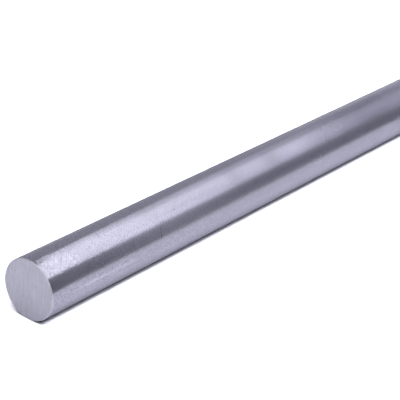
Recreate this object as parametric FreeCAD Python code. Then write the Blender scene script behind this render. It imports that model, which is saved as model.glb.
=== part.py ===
"""A silver steel rod: one length of centreless-ground round tool steel, sawn off at both ends.

Units are millimetres. The rod lies on a level floor along X, so the floor is the plane Z = 0.
The origin is on the floor under the middle of the rod. The end that shows best is at -X.
"""

import FreeCAD
import Part

import os

# Driving dimensions
rod_diameter = 25.0       # ground to size along the whole length
rod_length = 333.0        # a third of a metre, the length that short bars are sold in
edge_break_face = 0.35    # how far the broken edge reaches across the sawn face
edge_break_barrel = 0.25  # how far the broken edge reaches along the ground surface

# Worked out from them
rod_radius = rod_diameter / 2
half_length = rod_length / 2
lies_along = FreeCAD.Vector(1, 0, 0)
rod_centre = FreeCAD.Vector(0, 0, rod_radius)


def half_profile():
    """The area that one turn about the rod's axis fills: the barrel, a sawn face at each end,
    and the small conical edge that a file leaves where they meet."""
    face_radius = rod_radius - edge_break_face
    barrel_half = half_length - edge_break_barrel
    corners = [
        (-half_length, 0),
        (-half_length, face_radius),
        (-barrel_half, rod_radius),
        (barrel_half, rod_radius),
        (half_length, face_radius),
        (half_length, 0),
    ]
    points = [rod_centre + FreeCAD.Vector(along, 0, out) for along, out in corners]
    return Part.Face(Part.makePolygon(points + points[:1]))


def make_rod():
    rod = half_profile().revolve(rod_centre, lies_along, 360)
    return Part.Solid(Part.Shell(rod.Faces))


os.makedirs("parts", exist_ok=True)

rod = make_rod()
print("valid", rod.isValid(), "volume", round(rod.Volume, 1), "mm3")
rod.exportStep("parts/rod.step")
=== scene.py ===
import math
import random

import bmesh
import bpy
import numpy as np
from mathutils import Matrix, Quaternion, Vector


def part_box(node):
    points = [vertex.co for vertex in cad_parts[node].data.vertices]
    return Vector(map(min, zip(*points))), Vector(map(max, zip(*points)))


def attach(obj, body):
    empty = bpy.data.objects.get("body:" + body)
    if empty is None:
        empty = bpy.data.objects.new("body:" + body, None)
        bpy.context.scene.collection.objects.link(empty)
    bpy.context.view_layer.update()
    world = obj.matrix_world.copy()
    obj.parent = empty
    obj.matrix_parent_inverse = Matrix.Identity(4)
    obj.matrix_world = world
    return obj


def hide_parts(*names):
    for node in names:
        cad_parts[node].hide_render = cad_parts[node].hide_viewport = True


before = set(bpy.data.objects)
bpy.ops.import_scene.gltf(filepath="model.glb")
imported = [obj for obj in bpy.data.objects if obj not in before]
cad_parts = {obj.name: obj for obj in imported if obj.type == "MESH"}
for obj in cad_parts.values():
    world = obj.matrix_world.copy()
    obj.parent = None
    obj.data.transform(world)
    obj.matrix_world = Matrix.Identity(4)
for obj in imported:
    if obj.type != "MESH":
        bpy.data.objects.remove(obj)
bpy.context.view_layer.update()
mm = 0.001

# The rod lies along X on the floor, and its near end, the one that the camera sees, is at -X
rodLow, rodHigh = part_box("rod")
rodRadius = (rodHigh.z - rodLow.z) / 2
rodAxis = Vector((0, 0, rodLow.z + rodRadius))
nearEnd = rodLow.x
farEnd = rodHigh.x
closeBy = 0.001 * mm      # points nearer than this are one


# Nodes and colours

def linear(hexColour):
    channels = [int(hexColour[i:i + 2], 16) / 255 for i in (0, 2, 4)]
    curved = [c / 12.92 if c <= 0.04045 else ((c + 0.055) / 1.055) ** 2.4 for c in channels]
    return (*curved, 1.0)


def addNode(tree, kind, settings):
    # a setting is the node's own, or an input's value, or what is linked to that input, and an
    # input goes by its number where two have one name
    node = tree.nodes.new("ShaderNode" + kind)
    for name, value in settings.items():
        if isinstance(name, str) and name not in node.inputs:
            setattr(node, name, value)
        elif isinstance(value, bpy.types.NodeSocket):
            tree.links.new(value, node.inputs[name])
        else:
            node.inputs[name].default_value = value
    return node


def newMaterial(name):
    material = bpy.data.materials.new(name)
    material.use_nodes = True
    material.node_tree.nodes.clear()
    return material, material.node_tree


def unrolled(tree):
    # the barrel laid flat: X along the rod, Y the way round from the top, positive on the -Y side
    place = addNode(tree, "TexCoord", {}).outputs["Object"]
    x, y, z = addNode(tree, "SeparateXYZ", {"Vector": place}).outputs
    height = addNode(tree, "Math", {"operation": "SUBTRACT", 0: z, 1: rodAxis.z}).outputs[0]
    angle = addNode(tree, "Math", {"operation": "ARCTAN2", 0: y, 1: height}).outputs[0]
    arc = addNode(tree, "Math", {"operation": "MULTIPLY", 0: angle, 1: -rodRadius}).outputs[0]
    return addNode(tree, "CombineXYZ", {"X": x, "Y": arc}).outputs["Vector"]


def onBarrel(marks):
    # from mm past the near end and degrees round to places on the barrel laid flat
    return [
        (nearEnd + x * mm, rodRadius * math.radians(turn), wide * mm, tall * mm, lean, tone)
        for x, turn, wide, tall, lean, tone in marks
    ]


def addMarks(tree, spot, marks):
    # a mark is an ellipse that fades to its edge; the result is 1 outside them all
    tone = 1.0
    for x, y, wide, tall, lean, strength in marks:
        placed = addNode(tree, "Mapping", {
            "vector_type": "TEXTURE", "Vector": spot, "Location": (x, y, 0),
            "Rotation": (0, 0, math.radians(lean)), "Scale": (wide / 2, tall / 2, 1),
        }).outputs["Vector"]
        fade = addNode(tree, "TexGradient", {"gradient_type": "SPHERICAL", "Vector": placed}).outputs["Fac"]
        tone = addNode(tree, "Math", {"operation": "MULTIPLY_ADD", 0: fade, 1: strength, 2: tone}).outputs[0]
    return tone


noiseLow, noiseHigh = 0.3, 0.7      # nearly all of the noise lies between them


def blotches(tree, spot, size, detail, low, high):
    # noise over a spot, with its usual range stretched from low to high
    noise = addNode(tree, "TexNoise", {"Vector": spot, "Scale": 1 / size, "Detail": detail}).outputs["Fac"]
    return addNode(tree, "MapRange", {
        "Value": noise, "From Min": noiseLow, "From Max": noiseHigh, "To Min": low, "To Max": high,
    }).outputs["Result"]


# Ground barrel: silver steel, a bright carbon tool steel, brought to size between a grinding
# wheel and a control wheel. The eye sees a satin grey with a lavender cast, a fine sparkle of
# duller and brighter spots, hardly any lines round the bar, and the odd rub and nick. Two painted
# glints and some painted lighter and darker stretches of the reflection are in the colour too.
groundFinish = {
    "dullSpots": "908fa2",
    "brightSpots": "d3d2e3",
    "edgeOn": "f0f0f4",          # keeps the shine below white where the surface turns away
    "roughness": 0.26,
    "roughnessSpread": 0.008,
    "alongSpread": 0.85,         # how much further the shine spreads along the bar than round it
    "spotSize": 0.33 * mm,
    "spotDepth": 0.005 * mm,
    "wornTo": 0.5,               # where the spots are worn away, from the dull shade 0 to the bright 1
    "lineSpacing": 0.30 * mm,    # real lines are ten times finer, drawn as coarse as a render can show
    "lineLength": 9.0 * mm,
    "lineDepth": 0.003 * mm,
    "cloudSize": 11.0 * mm,
    "cloudShade": 0.012,
    # Each mark in mm and degrees: past the near end, round from the top, size along, size round,
    # lean, and tone, where less than 0 is darker. The nicks come first.
    "marks": [
        (63.2, 56, 0.7, 3.6, 10, -0.75),
        (62.7, 67, 0.7, 4.6, 6, -0.65),
        (61.4, 50, 0.6, 3.0, 10, -0.40),
        (64.6, 46, 0.6, 3.2, 10, -0.45),
        (66.1, 46, 0.6, 2.6, 10, -0.40),
        (69.0, 49, 0.6, 2.8, 10, -0.40),
        (46.4, 49, 0.6, 2.0, 12, -0.34),
        (47.3, 50, 0.6, 2.2, 12, -0.34),
        (46.7, 64, 0.7, 6.5, 8, -0.40),
        (33.5, 15, 0.8, 5.0, 8, -0.45),
        (30.5, 45, 0.7, 7.5, 8, -0.32),
        (25.8, 30, 0.7, 5.5, 8, -0.28),
        (67.6, 50, 0.8, 2.6, 8, -0.45),
        (67.2, 62, 0.7, 4.5, 8, -0.28),
        (75.0, 36, 0.9, 2.2, 8, -0.40),
        (73.8, -17, 0.8, 6.5, 8, -0.35),
        (50.0, -20, 0.8, 5.5, 8, -0.30),
        (63.0, 1, 0.9, 3.0, 8, -0.35),
        # two painted glints low on the side, then stretches that are duller or brighter: in part the
        # steel's own tone, in part painted reflection that lifts or dims the bands the metal mirrors
        (22.0, 88, 26.0, 2.2, 0, 0.36),
        (38.0, 89, 26.0, 2.0, 0, 0.28),
        (117.0, 28, 15.0, 14.0, 0, -0.14),
        (144.0, 28, 17.0, 14.0, 0, -0.16),
        (162.0, 33, 34.0, 11.0, 0, 0.18),
        (222.0, 10, 90.0, 15.0, 0, -0.26),
        (95.0, 10, 60.0, 10.0, 0, 0.14),
        (72.0, 54, 110.0, 8.0, 0, 0.46),
        (25.0, 13.5, 80.0, 4.0, 0, 0.22),
        (226.0, 45, 70.0, 7.0, 0, -0.20),
    ],
    # the same for a stretch that handling has rubbed, where the last number makes it rougher
    "rubs": [(104.0, 20, 200.0, 40.0, 0, 0.34)],
    # and for the middle, where the last number is the share of the spots that is worn away
    "smooth": [(135.0, 0, 230.0, 110.0, 0, -0.80)],
}


def groundSteel():
    g = groundFinish
    material, tree = newMaterial("silver_steel_centreless_ground")
    place = addNode(tree, "TexCoord", {}).outputs["Object"]
    clouds = blotches(tree, place, g["cloudSize"], 1.0, -1.0, 1.0)
    flat = unrolled(tree)
    unworn = addMarks(tree, flat, onBarrel(g["smooth"]))
    spots = blotches(tree, place, g["spotSize"], 1.0, 0.0, 1.0)
    spots = addNode(tree, "Mix", {"Factor": unworn, 2: g["wornTo"], 3: spots}).outputs[0]
    acrossLines = addNode(tree, "Mapping", {
        "Vector": place,
        "Scale": (1 / g["lineSpacing"], 1 / g["lineLength"], 1 / g["lineLength"]),
    }).outputs["Vector"]
    lines = addNode(tree, "TexNoise", {"Vector": acrossLines, "Scale": 1.0, "Detail": 2.0}).outputs["Fac"]
    lineBump = addNode(tree, "Bump", {"Height": lines, "Distance": g["lineDepth"], "Strength": 1.0})
    spotBump = addNode(tree, "Bump", {
        "Height": spots, "Distance": g["spotDepth"], "Strength": 1.0, "Normal": lineBump.outputs["Normal"],
    })
    # nicks, then the painted glints and the stretches of painted lighter and darker reflection
    nicksAndPaintedLight = addMarks(tree, flat, onBarrel(g["marks"]))
    rubbed = addMarks(tree, flat, onBarrel(g["rubs"]))
    tone = addNode(tree, "Math", {
        "operation": "MULTIPLY_ADD", 0: clouds, 1: g["cloudShade"], 2: nicksAndPaintedLight,
    }).outputs[0]
    steel = addNode(tree, "Mix", {
        "data_type": "RGBA", "Factor": spots, 6: linear(g["dullSpots"]), 7: linear(g["brightSpots"]),
    }).outputs[2]
    colour = addNode(tree, "VectorMath", {"operation": "SCALE", 0: steel, "Scale": tone}).outputs[0]
    rough = addNode(tree, "Math", {
        "operation": "MULTIPLY_ADD", 0: clouds, 1: -g["roughnessSpread"], 2: g["roughness"],
    }).outputs[0]
    rough = addNode(tree, "Math", {"operation": "MULTIPLY", 0: rough, 1: rubbed}).outputs[0]
    roundBar = addNode(tree, "Tangent", {"direction_type": "RADIAL", "axis": "X"}).outputs["Tangent"]
    shader = addNode(tree, "BsdfPrincipled", {
        "Base Color": colour, "Metallic": 1.0, "Roughness": rough, "Specular Tint": linear(g["edgeOn"]),
        "Anisotropic": g["alongSpread"], "Anisotropic Rotation": 0.25, "Tangent": roundBar,
        "Normal": spotBump.outputs["Normal"],
    })
    addNode(tree, "OutputMaterial", {"Surface": shader.outputs["BSDF"]})
    return material


# Sawn end: the same steel as the blade leaves it. The eye sees a matte grey with close upright
# strokes, a soft mottle and one small chip, with painted shade towards the bottom and the -Y side.
sawnFinish = {
    "dullStrokes": "c2c1d1",
    "brightStrokes": "d1d0e0",
    "roughness": 0.55,
    "strokeWidth": 0.45 * mm,
    "strokeLength": 7.0 * mm,
    "strokeDepth": 0.010 * mm,
    "mottleSize": 1.6 * mm,
    "mottleShade": 0.035,
    # Each mark in mm and degrees: across from the axis, up from it, width, height, lean, tone.
    # The chip and the scratch come first, then painted shade towards the bottom and the -Y side.
    "marks": [
        (-3.8, 2.9, 1.0, 0.8, 20, -0.40),
        (-3.2, 4.6, 0.5, 3.4, 0, 0.12),
        (-2.0, -13.0, 34.0, 26.0, 0, -0.19),
        (-13.0, 0, 14.0, 30.0, 0, -0.09),
    ],
}


def sawnSteel():
    s = sawnFinish
    material, tree = newMaterial("silver_steel_sawn_end")
    place = addNode(tree, "TexCoord", {}).outputs["Object"]
    acrossStrokes = addNode(tree, "Mapping", {
        "Vector": place, "Scale": (1 / s["strokeLength"], 1 / s["strokeWidth"], 1 / s["strokeLength"]),
    }).outputs["Vector"]
    strokes = blotches(tree, acrossStrokes, 1.0, 2.0, 0.0, 1.0)
    mottle = blotches(tree, place, s["mottleSize"], 2.0, -1.0, 1.0)
    bump = addNode(tree, "Bump", {"Height": strokes, "Distance": s["strokeDepth"], "Strength": 1.0})
    x, y, z = addNode(tree, "SeparateXYZ", {"Vector": place}).outputs
    flat = addNode(tree, "CombineXYZ", {"X": y, "Y": z}).outputs["Vector"]
    marks = [
        (across * mm, rodAxis.z + up * mm, wide * mm, tall * mm, lean, tone)
        for across, up, wide, tall, lean, tone in s["marks"]
    ]
    # the chip, the scratch, and painted shade towards the bottom and the -Y side
    tone = addNode(tree, "Math", {
        "operation": "MULTIPLY_ADD", 0: mottle, 1: s["mottleShade"], 2: addMarks(tree, flat, marks),
    }).outputs[0]
    steel = addNode(tree, "Mix", {
        "data_type": "RGBA", "Factor": strokes, 6: linear(s["dullStrokes"]), 7: linear(s["brightStrokes"]),
    }).outputs[2]
    colour = addNode(tree, "VectorMath", {"operation": "SCALE", 0: steel, "Scale": tone}).outputs[0]
    shader = addNode(tree, "BsdfPrincipled", {
        "Base Color": colour, "Metallic": 1.0, "Roughness": s["roughness"], "Normal": bump.outputs["Normal"],
    })
    addNode(tree, "OutputMaterial", {"Surface": shader.outputs["BSDF"]})
    return material


# Broken edge: drawn round once with a fine file. The eye sees a thin line, in places bright and in
# places no more than the sawn end, and one nick with a painted highlight where it catches light.
filedFinish = {
    "dullSteel": "c4c3d3",
    "brightSteel": "dfdeea",
    "roughness": 0.40,
    "patchSize": 1.8 * mm,
    "nickDepth": 0.02 * mm,
    # in mm and degrees, as the barrel's marks; the nick is painted brighter, a painted highlight
    "nicks": [(0.2, 57, 1.2, 1.0, 0, 0.6)],
}


def filedSteel():
    e = filedFinish
    material, tree = newMaterial("silver_steel_filed_edge")
    place = addNode(tree, "TexCoord", {}).outputs["Object"]
    patches = blotches(tree, place, e["patchSize"], 2.0, 0.0, 1.0)
    bump = addNode(tree, "Bump", {"Height": patches, "Distance": e["nickDepth"], "Strength": 1.0})
    # the nick is painted brighter: a painted highlight
    nickHighlight = addMarks(tree, unrolled(tree), onBarrel(e["nicks"]))
    steel = addNode(tree, "Mix", {
        "data_type": "RGBA", "Factor": patches, 6: linear(e["dullSteel"]), 7: linear(e["brightSteel"]),
    }).outputs[2]
    colour = addNode(tree, "VectorMath", {"operation": "SCALE", 0: steel, "Scale": nickHighlight}).outputs[0]
    shader = addNode(tree, "BsdfPrincipled", {
        "Base Color": colour, "Metallic": 1.0, "Roughness": e["roughness"], "Normal": bump.outputs["Normal"],
    })
    addNode(tree, "OutputMaterial", {"Surface": shader.outputs["BSDF"]})
    return material


# The rod: one profile spun about the axis, with an end face that is cut along each saw stroke
rod = {
    "segments": 384,
    "ringSpacing": 9.0 * mm,
    "edgeOnFace": 0.35 * mm,      # reach of the broken edge across the sawn face
    "edgeOnBarrel": 0.25 * mm,    # and along the barrel
    "edgeRounding": 0.08 * mm,
    "edgeSegments": 3,
    "strokePitch": 0.55 * mm,     # one crest and one trough of the saw
    "pitchSpread": (0.6, 1.4),    # least and most share of half the pitch
    "strokeDepth": 0.020 * mm,
    "depthSpread": (0.2, 1.0),    # least and most share of the depth
    "strokeLean": 1.5,            # degrees off upright
    "rowHeight": 1.6 * mm,        # the face is also cut across, so that no facet is long and thin
    "cutSnap": 0.002 * mm,        # a cut takes a corner that is nearer than this
    "seed": 5,
}
barrelSlot, sawnSlot, filedSlot = 0, 1, 2


def spinBarrel(bm):
    rimRadius = rodRadius - rod["edgeOnFace"]
    stations = [
        (nearEnd, rimRadius),
        (nearEnd + rod["edgeOnBarrel"], rodRadius),
        (farEnd - rod["edgeOnBarrel"], rodRadius),
        (farEnd, rimRadius),
    ]
    corners = [bm.verts.new((x, 0, rodAxis.z + r)) for x, r in stations]
    sides = [bm.edges.new(pair) for pair in zip(corners, corners[1:])]
    rings = round((farEnd - nearEnd) / rod["ringSpacing"])
    bmesh.ops.subdivide_edges(bm, edges=[sides[1]], cuts=rings)
    bmesh.ops.spin(bm, geom=bm.verts[:] + bm.edges[:], cent=rodAxis, axis=(1, 0, 0),
                   angle=math.tau, steps=rod["segments"], use_merge=True)
    bmesh.ops.remove_doubles(bm, verts=bm.verts, dist=closeBy)


def paintEdges(bm):
    # the broken edge is the one sloping band at each end
    for face in bm.faces:
        middle = face.calc_center_median()
        atEnd = min(middle.x - nearEnd, farEnd - middle.x) < rod["edgeOnBarrel"]
        face.material_index = filedSlot if atEnd else barrelSlot


def roundEdges(bm):
    corners = [
        edge for edge in bm.edges
        if {face.material_index for face in edge.link_faces} == {barrelSlot, filedSlot}
    ]
    bmesh.ops.bevel(bm, geom=corners, offset=rod["edgeRounding"], offset_type="OFFSET", affect="EDGES",
                    segments=rod["edgeSegments"], profile=0.5, material=-1)


def sawEnd(bm, atX, inward, dice):
    rim = [edge for edge in bm.edges if edge.is_boundary and abs(edge.verts[0].co.x - atX) < closeBy]
    made = bmesh.ops.contextual_create(bm, geom=rim)["faces"]
    for face in made:
        face.material_index = sawnSlot
    lean = math.radians(rod["strokeLean"])
    acrossStrokes = Vector((0, math.cos(lean), math.sin(lean)))
    cuts = []
    reach = -rodRadius
    while reach < rodRadius:
        reach += rod["strokePitch"] / 2 * dice.uniform(*rod["pitchSpread"])
        cuts.append(reach)

    def cutAt(distance, direction):
        faces = [face for face in bm.faces if face.material_index == sawnSlot
                 and abs(face.calc_center_median().x - atX) < closeBy]
        around = {edge for face in faces for edge in face.edges}
        corners = {vert for face in faces for vert in face.verts}
        bmesh.ops.bisect_plane(bm, geom=[*faces, *around, *corners], dist=rod["cutSnap"],
                               plane_co=rodAxis + direction * distance, plane_no=direction)

    for cut in cuts:
        cutAt(cut, acrossStrokes)
    rows = round(2 * rodRadius / rod["rowHeight"])
    alongStrokes = Vector((0, -math.sin(lean), math.cos(lean)))
    for row in range(1, rows):
        cutAt(-rodRadius + row * 2 * rodRadius / rows, alongStrokes)

    depths = [
        0 if number % 2 else rod["strokeDepth"] * dice.uniform(*rod["depthSpread"])
        for number in range(len(cuts))
    ]
    sawn = {vert for face in bm.faces if face.material_index == sawnSlot for vert in face.verts
            if abs(vert.co.x - atX) < closeBy}
    for vert in sawn:
        offset = vert.co - rodAxis
        vert.co.x += inward * float(np.interp(offset.dot(acrossStrokes), cuts, depths))
    return len(cuts)


def makeRod():
    dice = random.Random(rod["seed"])
    bm = bmesh.new()
    spinBarrel(bm)
    paintEdges(bm)
    roundEdges(bm)
    strokes = sawEnd(bm, nearEnd, 1, dice) + sawEnd(bm, farEnd, -1, dice)
    bmesh.ops.recalc_face_normals(bm, faces=bm.faces)
    for face in bm.faces:
        face.smooth = True
    for edge in bm.edges:
        slots = {face.material_index for face in edge.link_faces}
        edge.smooth = slots != {sawnSlot, filedSlot}
    mesh = bpy.data.meshes.new("silver_steel_rod")
    bm.to_mesh(mesh)
    bm.free()
    for material in (groundSteel(), sawnSteel(), filedSteel()):
        mesh.materials.append(material)
    piece = bpy.data.objects.new("silver_steel_rod", mesh)
    bpy.context.scene.collection.objects.link(piece)
    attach(piece, "root")
    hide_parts("rod")
    print("rod spun,", len(mesh.polygons), "faces,", strokes, "saw cuts")


makeRod()


# Floor, surroundings and light

def seenRays(tree):
    # 1 for what the camera sees itself or in metal or glass, and 0 for light on its way to a surface
    rays = addNode(tree, "LightPath", {}).outputs
    seen = addNode(tree, "Math", {"operation": "MAXIMUM", 0: rays["Is Camera Ray"], 1: rays["Is Glossy Ray"]})
    return addNode(tree, "Math", {
        "operation": "MAXIMUM", 0: seen.outputs[0], 1: rays["Is Transmission Ray"],
    }).outputs[0]


# White card: matt paper. The eye sees an even white that darkens close to where the rod touches
# it, partly from the lamps' shadow and partly from a painted contact shadow.
floorCard = {
    "shade": "f2f2f5",
    "radius": 6.0,
    "segments": 96,
    "gain": 4.0,                 # how much paler the camera sees the card than its shade is
    "mirrorGain": 1.5,           # and how much paler metal shows it
    "contactReach": 2.0 * mm,    # how near the rod the painted contact shadow reaches
    "contactSamples": 8,
    "contactPower": 2.2,         # how deep the painted contact shadow beside the rod is
    "frontPower": 0.2,           # and before the near end, where the light gets in and the painted shadow is fainter
    "frontReach": 1.5 * mm,
    "whiteFrom": 0.30,           # how far out the card starts to turn as white as the world
    "whiteAt": 0.60,
}


def whiteCard():
    c = floorCard
    material, tree = newMaterial("white_card")
    rays = addNode(tree, "LightPath", {}).outputs
    # painted contact shadow: the card's colour is darkened where the rod is close, by occlusion to a power
    near = addNode(tree, "AmbientOcclusion", {
        "Distance": c["contactReach"], "samples": c["contactSamples"],
    }).outputs["AO"]
    place = addNode(tree, "NewGeometry", {}).outputs["Position"]
    x = addNode(tree, "SeparateXYZ", {"Vector": place}).outputs["X"]
    power = addNode(tree, "MapRange", {
        "Value": x, "From Min": nearEnd, "From Max": nearEnd + c["frontReach"],
        "To Min": c["frontPower"], "To Max": c["contactPower"],
    }).outputs["Result"]
    paintedContactShadow = addNode(tree, "Math", {"operation": "POWER", 0: near, 1: power}).outputs[0]
    mirrored = addNode(tree, "MapRange", {
        "Value": rays["Is Glossy Ray"], "To Min": 1.0, "To Max": c["mirrorGain"],
    }).outputs["Result"]
    gain = addNode(tree, "MapRange", {
        "Value": rays["Is Camera Ray"], "To Min": mirrored, "To Max": c["gain"],
    }).outputs["Result"]
    lifted = addNode(tree, "Math", {"operation": "MULTIPLY", 0: paintedContactShadow, 1: gain}).outputs[0]
    colour = addNode(tree, "VectorMath", {
        "operation": "SCALE", 0: linear(c["shade"])[:3], "Scale": lifted,
    }).outputs[0]
    card = addNode(tree, "BsdfDiffuse", {"Color": colour}).outputs["BSDF"]
    away = addNode(tree, "VectorMath", {"operation": "LENGTH", 0: place}).outputs["Value"]
    white = addNode(tree, "MapRange", {
        "Value": away, "From Min": c["whiteFrom"], "From Max": c["whiteAt"], "To Max": seenRays(tree),
    }).outputs["Result"]
    glow = addNode(tree, "Emission", {"Color": (1, 1, 1, 1), "Strength": 1.0}).outputs["Emission"]
    both = addNode(tree, "MixShader", {"Fac": white, 1: card, 2: glow}).outputs["Shader"]
    addNode(tree, "OutputMaterial", {"Surface": both})
    return material


def makeFloor():
    bm = bmesh.new()
    bmesh.ops.create_circle(bm, cap_ends=True, segments=floorCard["segments"], radius=floorCard["radius"])
    mesh = bpy.data.meshes.new("floor")
    bm.to_mesh(mesh)
    bm.free()
    mesh.materials.append(whiteCard())
    floor = bpy.data.objects.new("floor", mesh)
    floor.location.z = rodLow.z
    bpy.context.scene.collection.objects.link(floor)


# Glowing boards round the rod, which only the metal shows: their shades are painted reflection
# of a dim studio, not lamplit boards. They close off the lamps' edges.
boards = {
    "alongX": (-0.65, 0.60),      # where the top edges are; there is no board at -X
    "alongY": (-0.565, 0.31),
    "height": 0.51,
    "footIn": 0.43,               # how far the foot of the near board, the one at -Y, stands in
    "footOut": 0.6,               # and how far the others stand out
    # painted reflection shades at places along X
    "lidShades": [(0.0, "101014")],
    "nearShades": [(-0.10, "74747b"), (0.06, "949499"), (0.14, "949499"), (0.27, "84848a")],
    "farShades": [(0.48, "acacb0"), (0.66, "b3b3c0"), (0.82, "8a8a9a"), (1.00, "ffffff")],
    # where a board glows brighter, painted reflection: place along X, height, width, height, lean, tone
    "lidGlow": [],
    "nearGlow": [(0.36, 0.32, 0.36, 0.60, 0, 1.0)],
    "farGlow": [],
}
lidBoard, nearBoard, farBoards = 0, 1, 2


def glowingBoard(name):
    shades = boards[name + "Shades"]
    material, tree = newMaterial(name + "_glowing_board")
    place = addNode(tree, "NewGeometry", {}).outputs["Position"]
    x, y, z = addNode(tree, "SeparateXYZ", {"Vector": place}).outputs
    first = shades[0][0]
    last = shades[-1][0] + mm     # so that one shade alone has a length too
    along = addNode(tree, "MapRange", {"Value": x, "From Min": first, "From Max": last}).outputs["Result"]
    ramp = addNode(tree, "ValToRGB", {"Fac": along})
    stops = ramp.color_ramp.elements
    while len(stops) > 1:
        stops.remove(stops[0])
    for number, (at, shade) in enumerate(shades):
        stop = stops.new(1.0) if number else stops[0]
        stop.position = (at - first) / (last - first)
        stop.color = linear(shade)
    upright = addNode(tree, "CombineXYZ", {"X": x, "Y": z}).outputs["Vector"]
    # the board glows with its painted shades and is seen only in the metal, as a painted reflection
    boardGlow = addNode(tree, "Emission", {
        "Color": ramp.outputs["Color"], "Strength": addMarks(tree, upright, boards[name + "Glow"]),
    }).outputs["Emission"]
    addNode(tree, "OutputMaterial", {"Surface": boardGlow})
    return material


def makeBoards():
    left, right = boards["alongX"]
    back, front = boards["alongY"]
    bm = bmesh.new()
    bmesh.ops.create_cube(bm, size=1.0)
    unwanted = [face for face in bm.faces if face.normal.z < -0.5 or face.normal.x < -0.5]
    bmesh.ops.delete(bm, geom=unwanted, context="FACES_ONLY")
    for face in bm.faces:
        if face.normal.z > 0.5:
            face.material_index = lidBoard
        elif face.normal.y < -0.5:
            face.material_index = nearBoard
        else:
            face.material_index = farBoards
    for vert in bm.verts:
        atFoot = vert.co.z < 0
        vert.co = (
            (right + boards["footOut"] * atFoot if vert.co.x > 0 else left),
            (front + boards["footOut"] * atFoot if vert.co.y > 0 else back + boards["footIn"] * atFoot),
            (rodLow.z if atFoot else boards["height"]),
        )
    mesh = bpy.data.meshes.new("dark_boards")
    bm.to_mesh(mesh)
    bm.free()
    for name in ("lid", "near", "far"):
        mesh.materials.append(glowingBoard(name))
    dark = bpy.data.objects.new("dark_boards", mesh)
    bpy.context.scene.collection.objects.link(dark)
    dark.visible_camera = False
    dark.visible_diffuse = False
    dark.visible_shadow = False


# Lamps over the rod: X and Y of the edges, height, and strength, where 1 shows as white in a mirror
lamps = {
    "nearLamp": ((-0.65, 0.20), (-0.515, 0.09), 0.50, 1.25),
    "midLamp": ((0.20, 0.34), (-0.48, 0.45), 0.50, 2.20),
    "farLamp": ((0.34, 0.42), (-0.56, 0.45), 0.50, 2.15),
    "endLamp": ((0.42, 0.48), (-0.53, 0.14), 0.50, 2.20),
    "floorLamp": ((-0.65, 0.48), (-1.30, 0.20), 0.55, 1.22),
}
lampTints = {"endLamp": "f4f3ff"}     # a little bluer there, and white from the others


def makeLamp(name, lightsMetal, lightsFloor):
    (left, right), (back, front), height, strength = lamps[name]
    lamp = bpy.data.lights.new(name, "AREA")
    lamp.shape = "RECTANGLE"
    lamp.size = right - left
    lamp.size_y = front - back
    lamp.energy = strength * math.pi * lamp.size * lamp.size_y
    lamp.color = linear(lampTints.get(name, "ffffff"))[:3]
    holder = bpy.data.objects.new(name, lamp)
    holder.location = ((left + right) / 2, (back + front) / 2, height)
    holder.visible_camera = False
    holder.visible_glossy = lightsMetal
    holder.visible_diffuse = lightsFloor
    bpy.context.scene.collection.objects.link(holder)


surroundings = {
    "seenWhite": 1.0,
    "lightGiven": 0.03,      # what the white adds to the light on the floor
}


def makeWorld():
    world = bpy.data.worlds.new("white_studio")
    world.use_nodes = True
    tree = world.node_tree
    tree.nodes.clear()
    strength = addNode(tree, "MapRange", {
        "Value": seenRays(tree), "To Min": surroundings["lightGiven"], "To Max": surroundings["seenWhite"],
    }).outputs["Result"]
    sky = addNode(tree, "Background", {"Color": (1, 1, 1, 1), "Strength": strength}).outputs["Background"]
    addNode(tree, "OutputWorld", {"Surface": sky})
    bpy.context.scene.world = world


makeFloor()
makeBoards()
print("floor and boards placed")

for name in lamps:
    onFloor = name == "floorLamp"
    makeLamp(name, lightsMetal=not onFloor, lightsFloor=onFloor)
makeWorld()
print("lamps and world set")


# Camera, fitted to the sawn end's outline and the two long edges of the rod
camera = {
    "fromNearEnd": (-327.6 * mm, -310.9 * mm, 278.6 * mm),   # from the floor under the near end
    "heading": 35.885,     # degrees from +X towards +Y
    "dip": 26.434,         # degrees below level
    "roll": 5.45,          # degrees, the top of the camera to the left
    "focalLength": 126.78,
    "sensorWidth": 36.0,
}


def makeCamera():
    data = bpy.data.cameras.new("camera")
    data.lens = camera["focalLength"]
    data.sensor_width = camera["sensorWidth"]
    holder = bpy.data.objects.new("camera", data)
    heading, dip = math.radians(camera["heading"]), math.radians(camera["dip"])
    looks = Vector((math.cos(dip) * math.cos(heading), math.cos(dip) * math.sin(heading), -math.sin(dip)))
    turn = looks.to_track_quat("-Z", "Y") @ Quaternion((0, 0, 1), math.radians(camera["roll"]))
    spot = Vector((nearEnd, 0, rodLow.z)) + Vector(camera["fromNearEnd"])
    holder.matrix_world = Matrix.LocRotScale(spot, turn, None)
    bpy.context.scene.collection.objects.link(holder)
    bpy.context.scene.camera = holder


makeCamera()
bpy.context.scene.view_settings.view_transform = "Standard"
print("camera set")
